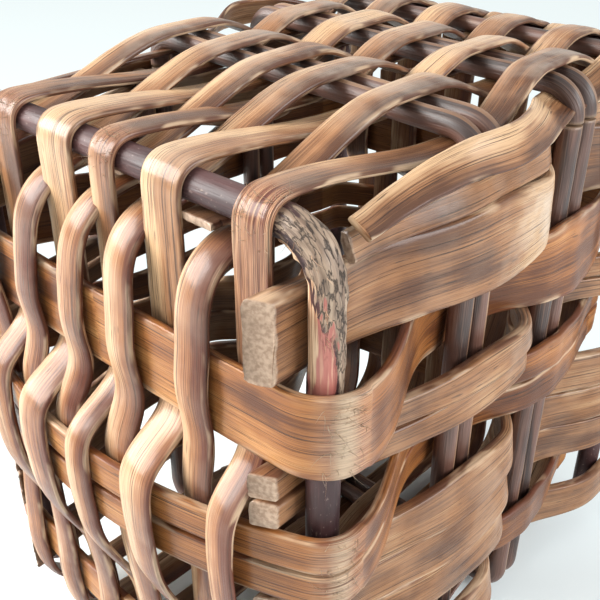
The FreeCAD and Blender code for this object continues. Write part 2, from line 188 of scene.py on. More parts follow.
class Finish(Nodes):
    """A material under construction, on the shader that every new material has."""

    def __init__(self, name):
        self.material = bpy.data.materials.new(name)
        self.material.use_nodes = True
        super().__init__(self.material.node_tree)
        self.shader = self.tree.nodes["Principled BSDF"]

    def mark(self, name):
        """A number kept on the mesh's points."""
        return self.node("Attribute", attribute_name=name).outputs["Fac"]

    def mix(self, share, first, second):
        """The first colour, turned into the second by the share."""
        return self.node("Mix", {0: share, 6: first, 7: second}, data_type="RGBA").outputs[2]

    def lay(self, colour, share, strength, paint):
        """A colour with paint laid over it where the share is high, no thicker than the strength."""
        return self.mix(self.math("MULTIPLY", share, strength), colour, paint)

    def ramp(self, value, low, high):
        """0 below low, 1 above high, and a smooth rise between."""
        inputs = {"Value": value, "From Min": low, "From Max": high}
        return self.node("MapRange", inputs, interpolation_type="SMOOTHSTEP").outputs[0]

    def spread(self, value, low, high):
        """From low to high as the value goes from 0 to 1."""
        return self.node("MapRange", {"Value": value, "To Min": low, "To Max": high}).outputs[0]

    def ragged(self, name, pattern, amount, low, high):
        """A mark on the mesh's points, its border broken up by a pattern, cut off between low and high."""
        shift = self.math("MULTIPLY", self.math("SUBTRACT", pattern, 0.5), amount)
        return self.ramp(self.math("ADD", self.mark(name), shift), low, high)

    def noise(self, place, scale, detail):
        """Noise at a place in space."""
        inputs = {"Vector": place, "Scale": scale, "Detail": detail}
        return self.node("TexNoise", inputs).outputs["Fac"]

    def streaks(self, along, across, detail=3.0, shift=0.0):
        """Noise on the grain's UV map, drawn out along the wood: cycles per 100 mm along and across it."""
        uv = self.node("UVMap", uv_map="grain").outputs[0]
        inputs = {"Vector": uv, "Scale": (along, across, 1.0), "Location": (shift, shift * 1.7, 0.0)}
        return self.noise(self.node("Mapping", inputs).outputs[0], 1.0, detail)

    def blotches(self, scale, detail):
        """Noise in the object's own space: cycles per metre."""
        return self.noise(self.node("TexCoord").outputs["Object"], scale, detail)

    def done(self, colour, roughness, height, relief, coat, coat_roughness, shine):
        """The finished material: its colour, roughness, relief in metres, coat of polish and shine."""
        bump = self.node("Bump", {"Height": height, "Strength": 1.0, "Distance": relief})
        settings = {"Base Color": colour, "Roughness": roughness, "Normal": bump.outputs[0],
                    "Coat Weight": coat, "Coat Roughness": coat_roughness, "Specular IOR Level": shine}
        for name, value in settings.items():
            self.put(self.shader.inputs[name], value)
        return self.material


def fibres(places, way, count, length, thick, seed, marks):
    """Loose fibres: thin three-sided hairs that start at places picked from a list, set off about one way,
    curl at random and taper to a point."""
    picks = np.random.default_rng(seed)
    hairs = []
    for _ in range(count):
        start = places[picks.integers(len(places))]
        ahead = way + picks.normal(0, 0.35, 3)
        ahead /= np.linalg.norm(ahead)
        curl = np.cross(ahead, picks.normal(0, 1, 3))
        share = np.linspace(0, 1, 7)[:, None]
        path = start + picks.uniform(0.35, 1) * length * (share * ahead + 0.35 * share ** 2 * curl)
        angle = np.array([4.2, 2.1, 0.0])
        reach = thick * (1 - 0.85 * share)
        grid = carry(path, np.cross(ahead, curl + 0.01), reach * np.cos(angle), reach * np.sin(angle))
        hairs.append(shell(grid, lengths_along(path), np.linspace(0, 6 * thick, 4), marks))
    return hairs


def bark_finish():
    """Smooth purple-brown bark with fine ridges and pale pores; grey flakes split by dark cracks where marked
    crack, red inner bark where marked worn, pale wood where marked cut."""
    bark = Finish("old_bark")
    ridges = bark.streaks(5.0, 90.0)
    broad = bark.streaks(2.0, 7.0, shift=3.0)
    pores = bark.ramp(bark.streaks(45.0, 75.0, 1.0, 5.0), 0.66, 0.74)
    colour = bark.mix(bark.ramp(broad, 0.32, 0.68), (0.028, 0.012, 0.013, 1), (0.092, 0.040, 0.038, 1))
    colour = bark.lay(colour, pores, 0.4, (0.30, 0.21, 0.18, 1))
    colour = bark.lay(colour, bark.ramp(ridges, 0.55, 0.75), 0.3, (0.21, 0.12, 0.11, 1))
    flakes = bark.streaks(16.0, 52.0, 6.0, 9.0)
    lines = bark.ramp(bark.math("ABSOLUTE", bark.math("SUBTRACT", flakes, 0.5)), 0.0, 0.028)
    patches = bark.ramp(bark.streaks(8.0, 46.0, 6.0, 11.0), 0.36, 0.64)
    grey = bark.mix(patches, (0.135, 0.088, 0.062, 1), (0.40, 0.29, 0.205, 1))
    grey = bark.lay(grey, bark.ramp(ridges, 0.44, 0.60), 0.5, (0.24, 0.155, 0.105, 1))
    grey = bark.mix(bark.spread(lines, 0.3, 1.0), (0.040, 0.024, 0.018, 1), grey)
    colour = bark.mix(bark.ragged("crack", flakes, 1.6, 0.26, 0.46), colour, grey)
    inner = bark.mix(bark.ramp(broad, 0.35, 0.65), (0.27, 0.060, 0.055, 1), (0.47, 0.175, 0.135, 1))
    inner = bark.lay(inner, bark.ramp(ridges, 0.54, 0.66), 0.6, (0.62, 0.36, 0.25, 1))
    colour = bark.mix(bark.ragged("wear_and_sheen", flakes, 1.3, 0.38, 0.50), colour, inner)
    pale = bark.mix(bark.ramp(ridges, 0.38, 0.62), (0.40, 0.205, 0.115, 1), (0.76, 0.53, 0.34, 1))
    colour = bark.mix(bark.ragged("cut", ridges, 0.7, 0.40, 0.52), colour, pale)
    cracked = bark.math("MULTIPLY", bark.math("ADD", lines, flakes), bark.mark("crack"))
    height = bark.math("ADD", bark.math("MULTIPLY", ridges, 0.5), bark.math("MULTIPLY", cracked, 1.6))
    return bark.done(colour, bark.spread(ridges, 0.222, 0.778), height, 0.0006, 0.12, 0.35, 0.3)


def ring_angles(sides):
    """The angles of the points round a rod, in the order that turns its faces outward."""
    return np.linspace(0, 2 * np.pi, sides, endpoint=False)[::-1] + np.pi


def rod_grid(path, radius, sides, seed, lumps):
    """A rod along a path: a circle whose radius swells and dents with slow noise along and round it."""
    along = lengths_along(path)
    angle = ring_angles(sides)
    dents = noise(along[:, None] / 22, 2 + 1.5 * np.cos(angle)[None], seed)
    fine = noise(along[:, None] / 9, 4 + 5 * np.sin(angle)[None], seed + 1)
    reach = radius * (1 + lumps * dents + 0.4 * lumps * fine)
    return carry(path, SIDEWAYS, reach * np.cos(angle), reach * np.sin(angle))


def bent_line(half, level, tip, bend, y):
    """The centre line of a rod bent into a U: a leg from its tip, a bend, and the same mirrored."""
    sign = 1 if level > tip else -1
    turn = np.linspace(0, np.pi / 2, 12)
    x = np.r_[-half, -half + bend * (1 - np.cos(turn))]
    z = np.r_[tip, level - sign * bend * (1 - np.sin(turn))]
    side = np.c_[x, np.full(len(x), y), z]
    return np.r_[side, side[::-1] * [-1, 1, 1]]


def bark_marks(line, angle, seed):
    """Where a rail's bark is cracked, peeled to the red or split to the wood, at each point of its grid:
    cracked at the bends, peeled and split on one post by the hinge. Angles count from the hinge side."""
    x, z = line[:, :1], line[:, 2:]
    uneven = noise(z / 7 + x / 9, 3 + angle[None] * 1.6, seed)
    bends = hill(np.abs(x), POST_X, 26) * hill(z, RAIL_Z - 10, 80)
    outer = np.clip(0.35 + np.cos(angle - 1.45)[None], 0, 1)
    crack = bends * (0.35 + 0.75 * outer) + 0.25 * uneven * bends
    corner = hill(x, -POST_X, 12)
    red = corner * hill(z, RAIL_Z - 52, 50) * np.clip(2.6 * np.cos(angle - 0.42)[None] - 1.1, 0, 1)
    split = corner * hill(z, RAIL_Z - 32, 36) * np.clip(2.4 * np.cos(angle + 0.55)[None] - 1.1, 0, 1)
    below = np.clip(-1.7 * np.cos(angle - 1.35)[None], 0, 1)
    under = hill(x, -POST_X + 13, 20) * hill(z, RAIL_Z - 7, 15) * below
    red = np.clip(red * (1 + 0.4 * uneven), 0, 1)
    cut = np.clip(np.maximum(0.85 * split, under) * (1 + 0.5 * uneven), 0, 1)
    return np.clip(crack - 0.9 * red - 0.9 * cut, 0, 1), red, cut


def split_strand():
    """A strand split off inside the bend at the hinge corner: an oval carried round it, thin at both ends."""
    turn = np.radians(np.linspace(100, 8, 30))
    inset = RAIL_BEND - RAIL_RADIUS * 0.72
    path = np.c_[-POST_X + RAIL_BEND - inset * np.cos(turn), np.full(30, BACK_Y + 1.5),
                 RAIL_Z - RAIL_BEND + inset * np.sin(turn)]
    share = np.linspace(0, 1, 30)[:, None]
    angle = ring_angles(12)
    thin = np.sin(np.pi * (share * 0.8 + 0.16)) * (1 + 0.2 * noise(share * 9, angle[None], 5))
    grid = carry(path, SIDEWAYS, 3.4 * thin * np.cos(angle), 1.7 * thin * np.sin(angle))
    return shell(grid, lengths_along(path), np.linspace(0, 16, 13), {"cut": 1.0})


old_bark = bark_finish()
rail_around = np.linspace(0, 2 * np.pi * RAIL_RADIUS, RAIL_SIDES + 1)
for node, rail_y, seed in (("back_rail", BACK_Y, 11), ("front_rail", FRONT_Y, 12)):
    line = even_steps(bent_line(POST_X, RAIL_Z, POST_FOOT, RAIL_BEND, rail_y), 1.0, 5)
    along = lengths_along(line)
    x, z = line[:, 0], line[:, 2]
    near = hill(x, -POST_X, 45) * climb(z, 150, 60)
    angle = ring_angles(RAIL_SIDES)
    crack, red, cut = bark_marks(line, angle, seed)
    peeled = climb(np.maximum(red, cut), 0.35, 0.12)
    flaky = crack * noise(along[:, None] / 2.6, 9 + 3.2 * np.cos(angle)[None], seed + 3)
    rail_radius = RAIL_RADIUS * (0.98 - 0.07 * (x + POST_X) / (2 * POST_X) + 0.03 * near)[:, None]
    rail_radius = rail_radius - 0.5 * peeled + 0.5 * flaky
    grid = rod_grid(line, rail_radius, RAIL_SIDES, seed, 0.03)
    skins = [shell(grid, along, rail_around, {"crack": crack, "wear_and_sheen": red, "cut": cut})]
    if node == "back_rail":
        torn = line[(np.abs(x + POST_X) < 14) & (z > RAIL_Z - 34)] + np.array([-3.0, 4.2, 0.0])
        skins.append(split_strand())
        skins += fibres(torn, [-0.5, 0.5, -0.6], 22, 8.0, 0.14, 21, {"cut": 1.0})
    make_piece(node, "_bark_rod", skins, old_bark, "basket")

# Base stakes. Four split rods in two pairs, half peeled and planed flat on one side: each runs up one end
# wall, under the base and up the other end wall, and the end-wall splints are woven between the pairs.
STAKE_X = 94.0
STAKE_RADIUS = 5.0
STAKE_FLAT = 7.5
STAKE_LEVEL = 8.2
STAKE_TOP = 277.0
STAKE_BEND = 10.9
PAIR_SPACING = 71.05
PAIR_GAP = 4.0
PAIR_SLIP = -5.0  # the pairs have slipped this far towards the front
MIDDLE_Y = 9.908  # the basket's own middle lies this far behind the middle of its two rails
STAKE_SIDES = 30
first_pair = PAIR_SPACING / 2 + PAIR_SLIP
second_pair = -PAIR_SPACING / 2 + PAIR_SLIP
first_y = first_pair - MIDDLE_Y
second_y = second_pair - MIDDLE_Y


def split_rod_finish():
    """Half-peeled rod: dark red-brown bark left in long strips, fine ridges along it, and paler wood on the
    planed side, which is marked worn."""
    rod = Finish("split_rod")
    ridges = rod.streaks(4.0, 130.0)
    strips = rod.streaks(1.4, 12.0, shift=2.0)
    colour = rod.mix(rod.ramp(strips, 0.38, 0.62), (0.038, 0.020, 0.016, 1), (0.135, 0.062, 0.043, 1))
    colour = rod.lay(colour, rod.ramp(ridges, 0.52, 0.70), 0.35, (0.26, 0.15, 0.105, 1))
    bare = rod.mix(rod.ramp(strips, 0.36, 0.64), (0.175, 0.090, 0.050, 1), (0.36, 0.205, 0.115, 1))
    bare = rod.lay(bare, rod.ramp(ridges, 0.40, 0.56), 0.35, (0.12, 0.06, 0.036, 1))
    colour = rod.mix(rod.ragged("wear_and_sheen", strips, 0.9, 0.42, 0.56), colour, bare)
    colour = rod.mix(rod.mark("cut"), colour, (0.25, 0.155, 0.095, 1))
    return rod.done(colour, rod.spread(ridges, 0.36, 0.62), ridges, 0.0004, 0.2, 0.3, 0.5)


def pair_rod_y(number):
    """Where a rod of a pair lies, from the middle between the rails: to one side of the pair's own middle."""
    middle = first_pair if number < 2 else second_pair
    rod = 1 if number % 2 == 0 else -1
    return middle + rod * (STAKE_FLAT + PAIR_GAP) / 2 - (2 * STAKE_RADIUS - STAKE_FLAT) / 2


def at_ends(along, reach):
    """1 at both ends of a strip, falling to 0 a reach away from them."""
    return np.clip(1 - np.minimum(along, along[-1] - along) / reach, 0, 1)[:, None]


def planed_rod(node, path, across, seed, start, body):
    """A planed rod along a path: most of a circle, closed by a flat on its far side, dented by slow noise.
    The width runs towards the round side, the flat and the ends are bare, and start shifts the grain."""
    along = lengths_along(path)
    flat_width = STAKE_RADIUS - STAKE_FLAT
    half = np.arccos(flat_width / STAKE_RADIUS)
    angle = np.linspace(half, -half, STAKE_SIDES - 6)
    widths = np.r_[STAKE_RADIUS * np.cos(angle), np.full(6, flat_width)]
    depths = np.r_[STAKE_RADIUS * np.sin(angle), np.linspace(-1, 1, 8)[1:-1] * STAKE_RADIUS * np.sin(half)]
    swell = 0.035 * noise(along[:, None] / 26, 3 + depths / 4, seed)
    swell += 0.02 * noise(along[:, None] / 8, 3 + depths / 1.5, seed + 1)
    size = 0.97 * (1 + swell)
    grid = carry(path, across, widths * size, depths * size)
    bare = np.clip((flat_width + 2.6 - widths) / 1.2, 0, 1)[None]
    skin = shell(grid, along + start, np.linspace(0, 28.0, STAKE_SIDES + 1),
                 {"cut": at_ends(along, 1.5), "wear_and_sheen": 0.9 * bare})
    make_piece(node, "_split_rod", [skin], split_rod, body)


split_rod = split_rod_finish()
for number in range(4):
    stake_y = pair_rod_y(number) - MIDDLE_Y
    line = even_steps(bent_line(STAKE_X, STAKE_LEVEL, STAKE_TOP, STAKE_BEND, stake_y), 1.4, 3)
    planed_rod("base_stake_%d" % (number + 1), line, SIDEWAYS, 30 + number, 140 * number, "basket")

# Hoops. Long bands of split wood with the bark side out, woven round all four walls: one wide band, two
# narrow ones stacked, and one low down. Round the back posts their outer fibres have cracked and frayed.
HOOP_DEPTH = 4.0
CLEARANCE = 0.4
HOOP_CORNER = 10.0
SPLINT_DEPTH = 2.8
PAIR_REACH = STAKE_FLAT + PAIR_GAP / 2 + SPLINT_DEPTH
RAIL_Y = 122.5  # rails from the middle between them
STEP = 1.2  # from one section of a strip to the next
STRIP_COLUMNS = 15
STRIP_SQUARENESS = 6.0
RIDGE_HEIGHT = 0.07
WIDTH_PLAY = 0.6  # bands and slats are this much lower than the room they have
DEPTH_PLAY = 0.4
LOOSE_WOOD = {"crack": 1.0, "wear_and_sheen": 1.0, "tone_and_light": 0.9}
HOOPS = {  # drop of the top edge, height, bow, play round the posts, loose fibres, seed
    "upper_hoop": (49.875, 33.06, 2.0, 7.0, 60, 41),
    "middle_hoop_top": (109.155, 15.39, 22.0, 3.0, 24, 42),
    "middle_hoop_bottom": (126.045, 15.39, 22.0, 3.0, 24, 43),
    "lower_hoop": (210.9, 21.945, 8.0, 3.0, 24, 44),
}


def wood_finish(name, dark, middle, light, edge, gloss):
    """Split wood: three tones in broad soft streaks and clouds, fine fibres and dark grooves along the grain,
    short dark flecks, red edges and pale edges that are partly a painted highlight, whitish crests that are
    partly weathering and partly a painted sheen, fibrous cracks, dull cut ends, near-black painted shade
    on faces marked deep, and old polish. The lightness mark carries painted light and shade as well."""
    wood = Finish(name)
    broad = wood.streaks(0.8, 9.0)
    fine = wood.streaks(2.4, 130.0, 4.0, 2.0)
    hair = wood.streaks(4.0, 330.0, 2.0, 4.0)
    grooves = wood.ramp(wood.streaks(1.1, 150.0, 3.0, 14.0), 0.60, 0.67)
    flecks = wood.ramp(wood.streaks(9.0, 75.0, 1.0, 6.0), 0.69, 0.76)
    # The lightness mark holds each piece's own variation and also painted light and shade.
    tone_and_light = wood.math("MULTIPLY", wood.math("SUBTRACT", wood.mark("tone_and_light"), 0.5), 0.22)
    for part, amount in ((broad, 0.40), (wood.blotches(26.0, 3.0), 0.36), (fine, 0.24)):
        tone_and_light = wood.math("ADD", tone_and_light, wood.math("MULTIPLY", part, amount))
    colour = wood.mix(wood.ramp(tone_and_light, 0.39, 0.54), dark, middle)
    colour = wood.mix(wood.ramp(tone_and_light, 0.51, 0.67), colour, light)
    colour = wood.lay(colour, wood.ramp(hair, 0.54, 0.68), 0.75, dark)
    colour = wood.lay(colour, grooves, 0.8, (0.045, 0.020, 0.012, 1))
    colour = wood.lay(colour, flecks, 0.65, (0.035, 0.018, 0.012, 1))
    # Whitish crests: partly weathering, partly a painted sheen where light would catch the wood.
    wear_and_sheen = wood.math("MULTIPLY", wood.mark("wear_and_sheen"), wood.ramp(wood.blotches(48.0, 3.0), 0.34, 0.68))
    colour = wood.lay(colour, wear_and_sheen, 0.5, (0.58, 0.47, 0.37, 1))
    # Edges: red in places, pale in others; the pale ones are partly sapwood and partly a painted highlight.
    red_or_highlight = wood.ramp(wood.streaks(3.0, 8.0, 2.0, 12.0), 0.48, 0.56)
    broken = wood.ramp(wood.streaks(5.0, 20.0, 2.0, 7.0), 0.34, 0.58)
    rim = wood.math("MULTIPLY", wood.mark("edge"), broken)
    colour = wood.lay(colour, rim, 0.8, wood.mix(red_or_highlight, edge, (0.60, 0.42, 0.27, 1)))
    threads = wood.mix(wood.ramp(hair, 0.42, 0.58), (0.15, 0.042, 0.030, 1), (0.56, 0.30, 0.17, 1))
    threads = wood.mix(wood.ramp(wood.mark("wear_and_sheen"), 0.5, 1.0), threads, (0.62, 0.46, 0.31, 1))
    colour = wood.lay(colour, wood.mark("crack"), wood.ramp(fine, 0.30, 0.48), threads)
    speckle = wood.ramp(wood.blotches(600.0, 4.0), 0.30, 0.70)
    end_grain = wood.mix(speckle, (0.31, 0.20, 0.132, 1), (0.50, 0.35, 0.245, 1))
    colour = wood.mix(wood.mark("cut"), colour, end_grain)
    # Near-black painted shade on the faces marked deep, inside the basket.
    colour = wood.lay(colour, wood.mark("deep"), 0.75, (0.028, 0.015, 0.010, 1))
    height = wood.math("MULTIPLY", wood.math("MULTIPLY", hair, wood.mark("crack")), 1.8)
    for part, amount in ((fine, 0.5), (hair, -0.35), (grooves, -0.5)):
        height = wood.math("ADD", height, wood.math("MULTIPLY", part, amount))
    # The faces under that painted shade also lose their polish.
    coat = wood.math("MULTIPLY", wood.math("SUBTRACT", 1.0, wood.mark("deep")), 0.45)
    return wood.done(colour, wood.spread(fine, gloss, gloss + 0.35), height, 0.0007, coat, 0.24, 0.12)


def eased(t, knots, values):
    """Values held at the knots and joined by smooth steps between them; the knots rise."""
    t = np.clip(t, knots[0], knots[-1])
    right = np.clip(np.searchsorted(knots, t, side="right"), 1, len(knots) - 1)
    left = right - 1
    knots, values = np.array(knots), np.array(values)
    share = (t - knots[left]) / np.maximum(knots[right] - knots[left], 1e-9)
    return values[left] + (values[right] - values[left]) * smooth_step(share)


def strip_section(columns, squareness):
    """The loop of a strip's section, in halves of its width and depth: both faces across, meeting in rounded
    edges whose squareness is the power of the rounding."""
    widths = np.sin(np.linspace(-np.pi / 2, np.pi / 2, columns))
    depths = (1 - np.abs(widths) ** squareness) ** (1 / squareness)
    return np.r_[widths, widths[-2:0:-1]], np.r_[depths, -depths[-2:0:-1]]


def splint_skin(path, across, width, depth, seed, marks, columns=STRIP_COLUMNS, squareness=STRIP_SQUARENESS,
                wander=0.07, cup=0.0, fray=(0.0, 0.0), slant=0.0, inside=0, closed=False):
    """A split-wood strip along a path: edges wander with slow noise, faces carry long ridges, a cup bends the
    section, fray draws out the fibres of each end unevenly, and slant cuts the ends askew. The face named
    inside, by the sign of its depth, is marked deep, which paints it near-black as shade inside the basket."""
    along = lengths_along(np.r_[path, path[:1]] if closed else path)
    place = along[:-1] if closed else along
    row = place[:, None]
    wide, deep = strip_section(columns, squareness)
    edge_side, face_side = np.sign(wide), np.sign(deep)
    half, thick = np.reshape(width, (-1, 1)) / 2, np.reshape(depth, (-1, 1)) / 2
    slow = noise(row / 27, edge_side * 3 + 9.5, seed)
    quick = noise(row / 6, edge_side * 3 + 5.5, seed + 1)
    swell = noise(row / 33, face_side * 3 + 13.5, seed + 7)
    if closed:
        blend = climb(np.minimum(row, along[-1] - row), 0, 30)
        slow, quick, swell = slow * blend, quick * blend, swell * blend
    widths = wide * half * (1 + wander * slow + 0.2 * wander * quick)
    ridges = noise(row / 60, 20 + widths / 2.4 + 9 * face_side, seed + 2)
    ridges += 0.5 * noise(row / 25, 20 + widths / 0.9 + 9 * face_side, seed + 3)
    split = marks.get("crack", 0.0) * noise(row / 14, 30 + widths / 0.75, seed + 4)
    depths = deep * thick * (1 + 0.12 * swell) + face_side * (RIDGE_HEIGHT * ridges + 0.6 * split)
    depths = depths + np.reshape(cup, (-1, 1)) * (wide ** 2 - 0.4)
    grid = carry(path, across, widths, depths, closed)
    if not closed:
        ragged = noise(widths[0] / 1.3 + 40, deep * 1.5 + 40, seed + 5)
        for outward, amount, reach in ((-1, fray[0], row), (1, fray[1], along[-1] - row)):
            pull = outward * hill(reach, 0, 14) * (amount * (ragged - 0.2) + slant * deep)
            grid = grid + pull[..., None] * directions(path)[:, None]
    edge = climb(np.abs(wide), 0.80, 0.18)
    # Painted shade: the face turned inside, away from its edges, is marked for darkening.
    hidden = np.clip(0.62 * inside * face_side, 0, 1) * (1 - edge)
    loop = np.c_[wide * half.mean(), deep * thick.mean()]
    around = lengths_along(np.r_[loop, loop[:1]])
    tone_and_light = np.random.default_rng(seed + 6).uniform(0, 1)
    marks = {"edge": edge[None], "deep": hidden[None], "tone_and_light": tone_and_light, **marks}
    return shell(grid, along + 37.0 * seed, around + 3.1 * seed, marks, closed)


def hoop_frame(bow):
    """How a hoop turns its corners: the angle that its bowed sides lean by, its radius round a back post,
    where its back side starts, the centre of its front corner, and where its front side starts."""
    lean = np.arctan(2 * bow / POST_X)
    post_gap = RAIL_RADIUS + CLEARANCE + HOOP_DEPTH / 2
    radius = post_gap + SPLINT_DEPTH + CLEARANCE
    back = (POST_X + radius * np.sin(lean), RAIL_Y + radius * np.cos(lean))
    centre = (POST_X - post_gap - HOOP_CORNER, RAIL_Y - post_gap - HOOP_CORNER)
    front = (centre[0] + HOOP_CORNER * np.sin(lean), centre[1] + HOOP_CORNER * np.cos(lean))
    return lean, radius, back, centre, front


def hoop_line(corner, bow, x):
    """How far out a hoop's bowed side lies at x: a parabola between its two corners."""
    return corner[1] + bow * (1 - (x / corner[0]) ** 2)


def arc(middle, radius, start, end, count):
    """Points on a circle round a middle, from one angle to another."""
    angle = np.linspace(start, end, count)
    return np.c_[middle[0] + radius * np.cos(angle), middle[1] + radius * np.sin(angle)]


def hoop_path(bow, loose):
    """A hoop's closed line: bowed across the back, loosely round the back posts, inside the first pair of
    stakes and outside the second, inside the front posts and bowed across the front. Loose widens the back
    bends."""
    lean, radius, _, centre, front = hoop_frame(bow)
    bend = radius + loose
    middle = (-POST_X + loose, RAIL_Y - loose)
    start = middle[0] - bend * np.sin(lean)
    x = np.linspace(0, start, 60)
    back_side = np.c_[x, middle[1] + bend * np.cos(lean) + bow * (1 - (x / start) ** 2)]
    back_corner = arc(middle, bend, np.pi / 2 + lean, np.pi, 24)
    seat = STAKE_RADIUS + CLEARANCE + HOOP_DEPTH / 2
    inside, outside, press = -STAKE_X + seat, -STAKE_X - seat, 1.5
    knots = [-centre[1], second_pair - PAIR_REACH, second_pair, second_pair + PAIR_REACH,
             first_pair - PAIR_REACH, first_pair, first_pair + PAIR_REACH, middle[1]]
    values = [-centre[0] - HOOP_CORNER, outside, outside - press, outside,
              inside, inside + press, inside, -POST_X - radius]
    y = np.linspace(middle[1], -centre[1], 140)
    end_side = np.c_[eased(y, knots, values), y]
    front_corner = arc((-centre[0], -centre[1]), HOOP_CORNER, np.pi, 1.5 * np.pi - lean, 16)
    x = np.linspace(-front[0], 0, 50)
    front_side = np.c_[x, -hoop_line(front, bow, x)]
    half = np.concatenate([back_side, back_corner[1:], end_side[1:], front_corner[1:], front_side[1:]])
    loop = np.concatenate([half, half[-2:0:-1] * np.array([-1, 1])])
    return np.c_[loop[:, 0], loop[:, 1] - MIDDLE_Y, np.zeros(len(loop))]


def beside_pairs(y, reach):
    """1 beside a pair of stakes, falling to 0 a reach away from it."""
    return np.maximum(hill(y, first_y, reach), hill(y, second_y, reach))


def leaning(side, tilt):
    """The upright direction of a strip that leans outward on its side of the basket by a tilt."""
    return np.c_[side * np.sin(tilt), 0 * tilt, np.cos(tilt)]


def torn_places(line, across, width, rows, lift, seed):
    """Places on a torn stretch of a strip: rows of them along it, each shifted at random across its width and
    lifted off it."""
    shifts = np.random.default_rng(seed).uniform(-0.5, 0.5, (rows, len(line), 1)) * width
    return (line + shifts * np.array(across) + np.array(lift)).reshape(-1, 3)


hoop_wood = wood_finish("hoop_wood", (0.105, 0.033, 0.011, 1), (0.330, 0.122, 0.034, 1),
                        (0.56, 0.265, 0.092, 1), (0.15, 0.048, 0.026, 1), 0.34)
for node, (drop, height, bow, loose, hairs, seed) in HOOPS.items():
    line = even_steps(hoop_path(bow, loose), STEP, 10, True)[::-1]
    line[:, 2] = RAIL_Z - drop - height / 2
    place = np.arange(len(line)) * STEP
    x, y = line[:, 0], line[:, 1]
    on_end = climb(np.abs(x), 70, 12) * (np.abs(y) < BACK_Y - 8)
    upright = leaning(np.sign(x), 0.10 * noise(place / 60, 1.5, seed) * on_end)
    width = (height - WIDTH_PLAY) * (1 + 0.16 * on_end * beside_pairs(y, 34))
    fold = hill(x, -POST_X - 9, 9) * hill(y, BACK_Y + 1, 15)
    posts = np.maximum(fold, 0.5 * hill(x, POST_X + 9, 9) * hill(y, BACK_Y + 1, 15))
    # Painted shade: the band's colour is darker along the end walls.
    marks = {"crack": 0.95 * posts[:, None], "wear_and_sheen": 0.9 * fold[:, None],
             "tone_and_light": 0.65 - 0.35 * on_end[:, None]}
    skins = [splint_skin(line, upright, width, HOOP_DEPTH - DEPTH_PLAY, seed, marks, columns=25,
                         squareness=9.0, wander=0.012, inside=1, closed=True)]
    torn = torn_places(line[fold > 0.45], [0, 0, 1], height, 6, [-1.2, 1.4, 0], seed)
    skins += fibres(torn, [-0.55, 0.35, 0.25], hairs, 7.0, 0.12, seed + 3, LOOSE_WOOD)
    make_piece(node, "_band", skins, hoop_wood, "basket")

# Fillers. Thick riven slats laid between the hoops on each end wall, inside the back post and outside the
# front one. Their ends are cut off askew with a knife a finger's width past the posts.
FILLER_DEPTH = 6.5
FILLER_END = 18.0
SLAT_HOLD = 20.0  # how far past the first stakes a slat stays outside
FILLERS = {  # drop of the top edge, height, swelling beside the stakes, wave, paleness from weathering and painted sheen
    "top_filler": (17.5, 30.875, 0.17, 0.48, 1.4),
    "second_filler_top": (84.44, 10.86, 0.36, 1.2, 0.3),
    "second_filler_bottom": (96.8, 10.86, 0.36, 1.2, 0.3),
    "third_filler_top": (142.94, 21.16, 0.17, 1.2, 0.3),
    "third_filler_middle": (165.59, 21.16, 0.17, 1.2, 0.3),
    "third_filler_bottom": (188.25, 21.16, 0.17, 1.2, 0.3),
    "bottom_filler": (234.34, 21.95, 0.17, 1.2, 0.3),
}


def past_stakes(seat):
    """Where a slat runs past the stakes, outside the first pair and inside the second: its distance out, and
    where it starts and ends."""
    return ((STAKE_X + seat, first_pair + PAIR_REACH, first_pair - PAIR_REACH - SLAT_HOLD),
            (STAKE_X - seat, second_pair + PAIR_REACH, second_pair - PAIR_REACH))


def end_wall_line(side, stations):
    """A slat's line along one end wall, back to front: straight at each station and eased between them."""
    knots = [y for out, first, last in stations[::-1] for y in (last, first)]
    values = [out for out, first, last in stations[::-1] for _ in (first, last)]
    y = np.linspace(knots[-1], knots[0], 260)
    return np.c_[side * eased(y, knots, values), y - MIDDLE_Y, np.zeros(len(y))]


filler_wood = wood_finish("filler_wood", (0.095, 0.037, 0.017, 1), (0.290, 0.130, 0.053, 1),
                          (0.48, 0.285, 0.145, 1), (0.12, 0.048, 0.028, 1), 0.38)
post_seat = RAIL_RADIUS + CLEARANCE + FILLER_DEPTH / 2
past_post = RAIL_Y - RAIL_RADIUS - FILLER_DEPTH
FILLER_STATIONS = (
    (POST_X - post_seat, RAIL_Y + FILLER_END, past_post),
    *past_stakes(STAKE_RADIUS + CLEARANCE + FILLER_DEPTH / 2),
    (POST_X + post_seat, -past_post, -RAIL_Y - FILLER_END),
)
seed = 60
for side_name, side in (("left", -1), ("right", 1)):
    for name, (drop, height, swelling, wave, paleness) in FILLERS.items():
        seed += 7
        line = even_steps(end_wall_line(side, FILLER_STATIONS), STEP, 40)
        along = lengths_along(line)
        belly = 2.4 + 1.8 * abs(noise(3.3, 1.7, seed))
        thick_end = 1.6 * hill(along, 0, 45)
        line[:, 0] += side * (belly * hill(line[:, 1], first_y - 14, 54) - thick_end)
        rise = wave * noise(along / 55, 4.5, seed) * climb(along, 0, 40)
        line[:, 2] = RAIL_Z - drop - height / 2 + rise
        tilt = (0.16 * noise(along / 50, 2.5, seed) - 0.10) * climb(along, 30, 30)
        width = (height - WIDTH_PLAY) * (1 + swelling * beside_pairs(line[:, 1], 40))
        # Paler near the first pair of stakes, in colour and lightness: partly weathering, partly a painted
        # sheen on the slat's bulge.
        pale = paleness * hill(line[:, 1], first_y - 30, 44)[:, None]
        marks = {"cut": at_ends(along, 1.0), "wear_and_sheen": 0.15 + 0.85 * pale, "tone_and_light": 0.45 + 0.8 * pale}
        depth = FILLER_DEPTH - 0.5 + 2 * thick_end
        skin = splint_skin(line, leaning(side, tilt), width, depth, seed, marks, columns=21, squareness=8.0,
                           wander=0.03, fray=(0.7, 0.7), slant=2.2 * side, inside=side)
        make_piece("%s_%s" % (side_name, name), "_slat", [skin], filler_wood, "basket")

